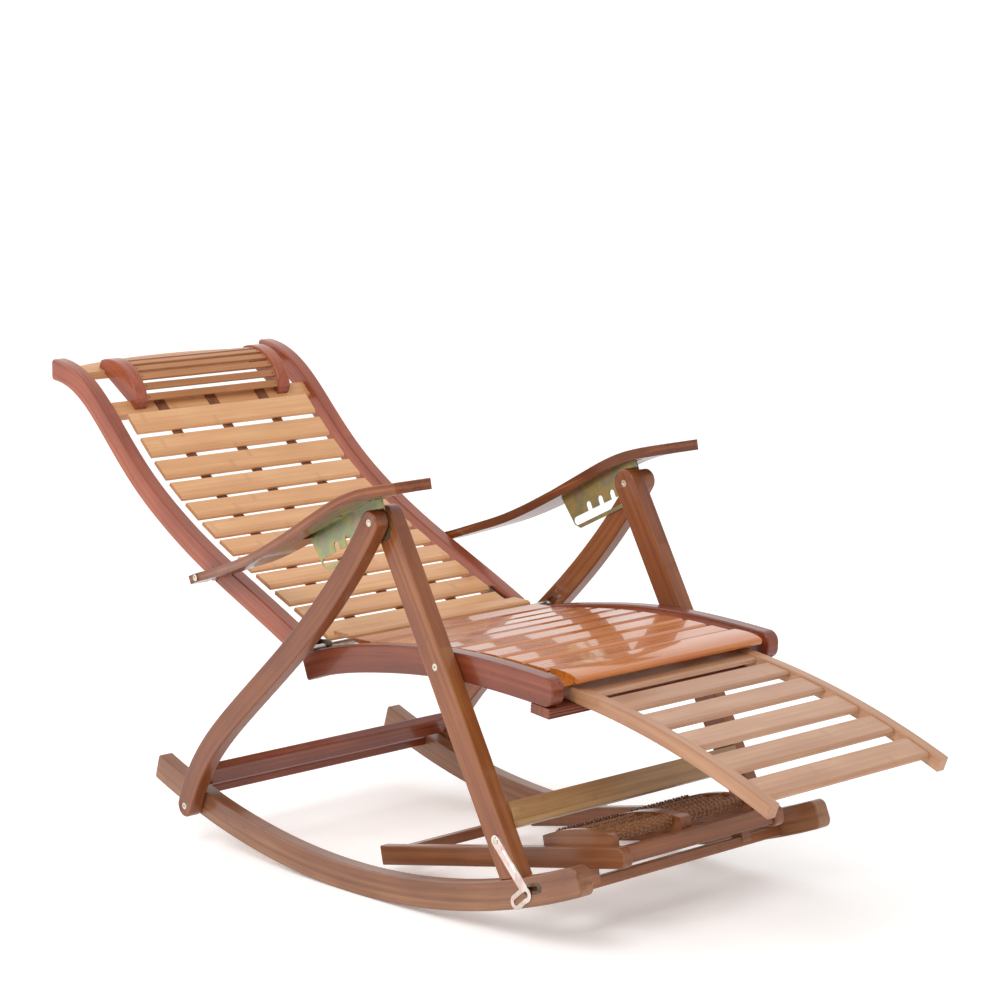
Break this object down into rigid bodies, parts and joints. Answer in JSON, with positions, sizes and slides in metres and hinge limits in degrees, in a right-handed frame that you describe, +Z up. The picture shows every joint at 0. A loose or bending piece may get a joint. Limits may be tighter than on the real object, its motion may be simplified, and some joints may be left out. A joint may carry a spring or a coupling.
{
  "type": "bamboo folding recliner",
  "caption": "Folding reclining rocking chair in varnished bamboo with slatted seat and back, curved rockers, adjustable armrests, pull-out footrest and roller foot massager",
  "frame": {"origin": "middle of the outer box at floor level", "axes": "+X toward the sitter's feet along the whole length, +Y to the sitter's left, +Z up"},
  "size_m": [1.7856, 0.6764, 0.8525],
  "materials": {
    "rail_bamboo": "gloss varnish",
    "leg_bamboo": "gloss varnish",
    "slat_bamboo": "gloss varnish",
    "seat_bamboo": "gloss varnish",
    "footrest_bamboo": "gloss varnish",
    "crossbar_bamboo": "satin varnish",
    "roller_bamboo": "satin varnish",
    "bolt_nickel": "polished",
    "rod_steel": "brushed",
    "zinc_plate": "zinc plated",
    "hinge_brass": "plated",
    "strap_leather": "matte"
  },
  "bodies": {
    "rockers": {"rocker_left": "rail_bamboo", "rocker_right": "rail_bamboo", "catch_keepers": "hinge_brass", "rocker_rear_crossbar": "crossbar_bamboo", "rocker_front_crossbar": "crossbar_bamboo", "massager_rail_left": "crossbar_bamboo", "massager_rail_right": "crossbar_bamboo", "massager_front_bar": "crossbar_bamboo", "massager_cross_bars": "crossbar_bamboo", "massager_block_plates": "crossbar_bamboo"},
    "rear_legs": {"rear_leg_left": "leg_bamboo", "rear_leg_right": "leg_bamboo", "rear_leg_crossbar": "crossbar_bamboo", "foot_bolts": "bolt_nickel", "top_bolts_outer": "bolt_nickel"},
    "front_legs": {"front_leg_left": "leg_bamboo", "front_leg_right": "leg_bamboo", "front_leg_crossbar": "crossbar_bamboo", "top_bolts_inner": "bolt_nickel", "seat_bolts": "bolt_nickel", "catch_bolts": "bolt_nickel"},
    "catch_left": {"catch_left": "zinc_plate"},
    "catch_right": {"catch_right": "zinc_plate"},
    "seat": {"seat_rail_left": "rail_bamboo", "seat_rail_right": "rail_bamboo", "seat_front_board": "seat_bamboo", "seat_front_crossbar": "crossbar_bamboo", "footrest_guide_bar": "crossbar_bamboo", "seat_slats": "seat_bamboo", "seat_straps": "strap_leather", "seat_hinge_plates": "hinge_brass"},
    "fold_rod": {"folding_rod": "rod_steel", "fold_slat": "slat_bamboo", "fold_strap_loops": "strap_leather"},
    "back": {"back_rail_left": "rail_bamboo", "back_rail_right": "rail_bamboo", "back_top_crossbar": "crossbar_bamboo", "back_second_crossbar": "crossbar_bamboo", "back_slats": "slat_bamboo", "back_straps": "strap_leather", "back_hinge_plates": "hinge_brass", "headrest_end_plates": "rail_bamboo", "headrest_strips": "slat_bamboo"},
    "arm_bolt_left": {"arm_bolt_left": "bolt_nickel"},
    "arm_bolt_right": {"arm_bolt_right": "bolt_nickel"},
    "armrest_left": {"armrest_left": "rail_bamboo", "armrest_comb_left": "zinc_plate"},
    "armrest_right": {"armrest_right": "rail_bamboo", "armrest_comb_right": "zinc_plate"},
    "footrest": {"footrest_rail_left": "footrest_bamboo", "footrest_rail_right": "footrest_bamboo", "footrest_slats": "footrest_bamboo"},
    "roller_left_1": {"roller_left_1": "roller_bamboo"},
    "roller_left_2": {"roller_left_2": "roller_bamboo"},
    "roller_left_3": {"roller_left_3": "roller_bamboo"},
    "roller_left_4": {"roller_left_4": "roller_bamboo"},
    "roller_right_1": {"roller_right_1": "roller_bamboo"},
    "roller_right_2": {"roller_right_2": "roller_bamboo"},
    "roller_right_3": {"roller_right_3": "roller_bamboo"},
    "roller_right_4": {"roller_right_4": "roller_bamboo"}
  },
  "joints": [
    {"name": "rocker_hinge", "type": "hinge", "parent": "rockers", "child": "rear_legs", "pos_m": [-0.43982, 0, 0.07893], "axis": [0, 1, 0], "range_deg": [-11.86, 0]},
    {"name": "fold_hinge", "type": "hinge", "parent": "rear_legs", "child": "front_legs", "pos_m": [0.12741, 0, 0.6428], "axis": [0, 1, 0], "range_deg": [0, 71]},
    {"name": "seat_hinge", "type": "hinge", "parent": "front_legs", "child": "seat", "pos_m": [0.24498, 0, 0.41901], "axis": [0, 1, 0], "range_deg": [-107.28, 0]},
    {"name": "rod_hinge", "type": "hinge", "parent": "seat", "child": "fold_rod", "pos_m": [-0.11132, 0, 0.39979], "axis": [0, 1, 0], "range_deg": [0, 117.44]},
    {"name": "recline_hinge", "type": "hinge", "parent": "fold_rod", "child": "back", "pos_m": [-0.11132, 0, 0.39979], "axis": [0, -1, 0], "range_deg": [-36, 0]},
    {"name": "arm_bolt_left_hinge", "type": "hinge", "parent": "back", "child": "arm_bolt_left", "pos_m": [-0.39513, 0.268, 0.49529], "axis": [0, 1, 0], "range_deg": [-83.22, 0]},
    {"name": "armrest_left_hinge", "type": "hinge", "parent": "arm_bolt_left", "child": "armrest_left", "pos_m": [-0.39513, 0.275, 0.49529], "axis": [0, -1, 0], "range_deg": [0, 24.66]},
    {"name": "catch_left_hinge", "type": "hinge", "parent": "front_legs", "child": "catch_left", "pos_m": [0.38078, 0.2821, 0.16028], "axis": [0, -1, 0], "range_deg": [0, 60]},
    {"name": "arm_bolt_right_hinge", "type": "hinge", "parent": "back", "child": "arm_bolt_right", "pos_m": [-0.39513, -0.268, 0.49529], "axis": [0, 1, 0], "range_deg": [-83.22, 0]},
    {"name": "armrest_right_hinge", "type": "hinge", "parent": "arm_bolt_right", "child": "armrest_right", "pos_m": [-0.39513, -0.275, 0.49529], "axis": [0, -1, 0], "range_deg": [0, 24.66]},
    {"name": "catch_right_hinge", "type": "hinge", "parent": "front_legs", "child": "catch_right", "pos_m": [0.38078, -0.2821, 0.16028], "axis": [0, -1, 0], "range_deg": [0, 60]},
    {"name": "footrest_slide", "type": "hinge", "parent": "seat", "child": "footrest", "pos_m": [0.26001, 0, -1.18218], "axis": [0, 1, 0], "range_deg": [-15, 0]},
    {"name": "roller_left_1_spin", "type": "hinge", "parent": "rockers", "child": "roller_left_1", "pos_m": [0.37854, 0.086, 0.14095], "axis": [0, 1, 0], "continuous": true},
    {"name": "roller_left_2_spin", "type": "hinge", "parent": "rockers", "child": "roller_left_2", "pos_m": [0.41691, 0.086, 0.14785], "axis": [0, 1, 0], "continuous": true},
    {"name": "roller_left_3_spin", "type": "hinge", "parent": "rockers", "child": "roller_left_3", "pos_m": [0.45528, 0.086, 0.15475], "axis": [0, 1, 0], "continuous": true},
    {"name": "roller_left_4_spin", "type": "hinge", "parent": "rockers", "child": "roller_left_4", "pos_m": [0.49365, 0.086, 0.16165], "axis": [0, 1, 0], "continuous": true},
    {"name": "roller_right_1_spin", "type": "hinge", "parent": "rockers", "child": "roller_right_1", "pos_m": [0.37854, -0.086, 0.14095], "axis": [0, 1, 0], "continuous": true},
    {"name": "roller_right_2_spin", "type": "hinge", "parent": "rockers", "child": "roller_right_2", "pos_m": [0.41691, -0.086, 0.14785], "axis": [0, 1, 0], "continuous": true},
    {"name": "roller_right_3_spin", "type": "hinge", "parent": "rockers", "child": "roller_right_3", "pos_m": [0.45528, -0.086, 0.15475], "axis": [0, 1, 0], "continuous": true},
    {"name": "roller_right_4_spin", "type": "hinge", "parent": "rockers", "child": "roller_right_4", "pos_m": [0.49365, -0.086, 0.16165], "axis": [0, 1, 0], "continuous": true}
  ],
  "couplings": [
    {"joint": "rocker_hinge", "follows": "fold_hinge", "ratio": -0.16},
    {"joint": "seat_hinge", "follows": "fold_hinge", "ratio": -1.504},
    {"joint": "rod_hinge", "follows": "fold_hinge", "ratio": 1.647},
    {"joint": "arm_bolt_left_hinge", "follows": "fold_hinge", "ratio": -1.165},
    {"joint": "armrest_left_hinge", "follows": "recline_hinge", "ratio": -0.671},
    {"joint": "arm_bolt_right_hinge", "follows": "fold_hinge", "ratio": -1.165},
    {"joint": "armrest_right_hinge", "follows": "recline_hinge", "ratio": -0.671}
  ]
}
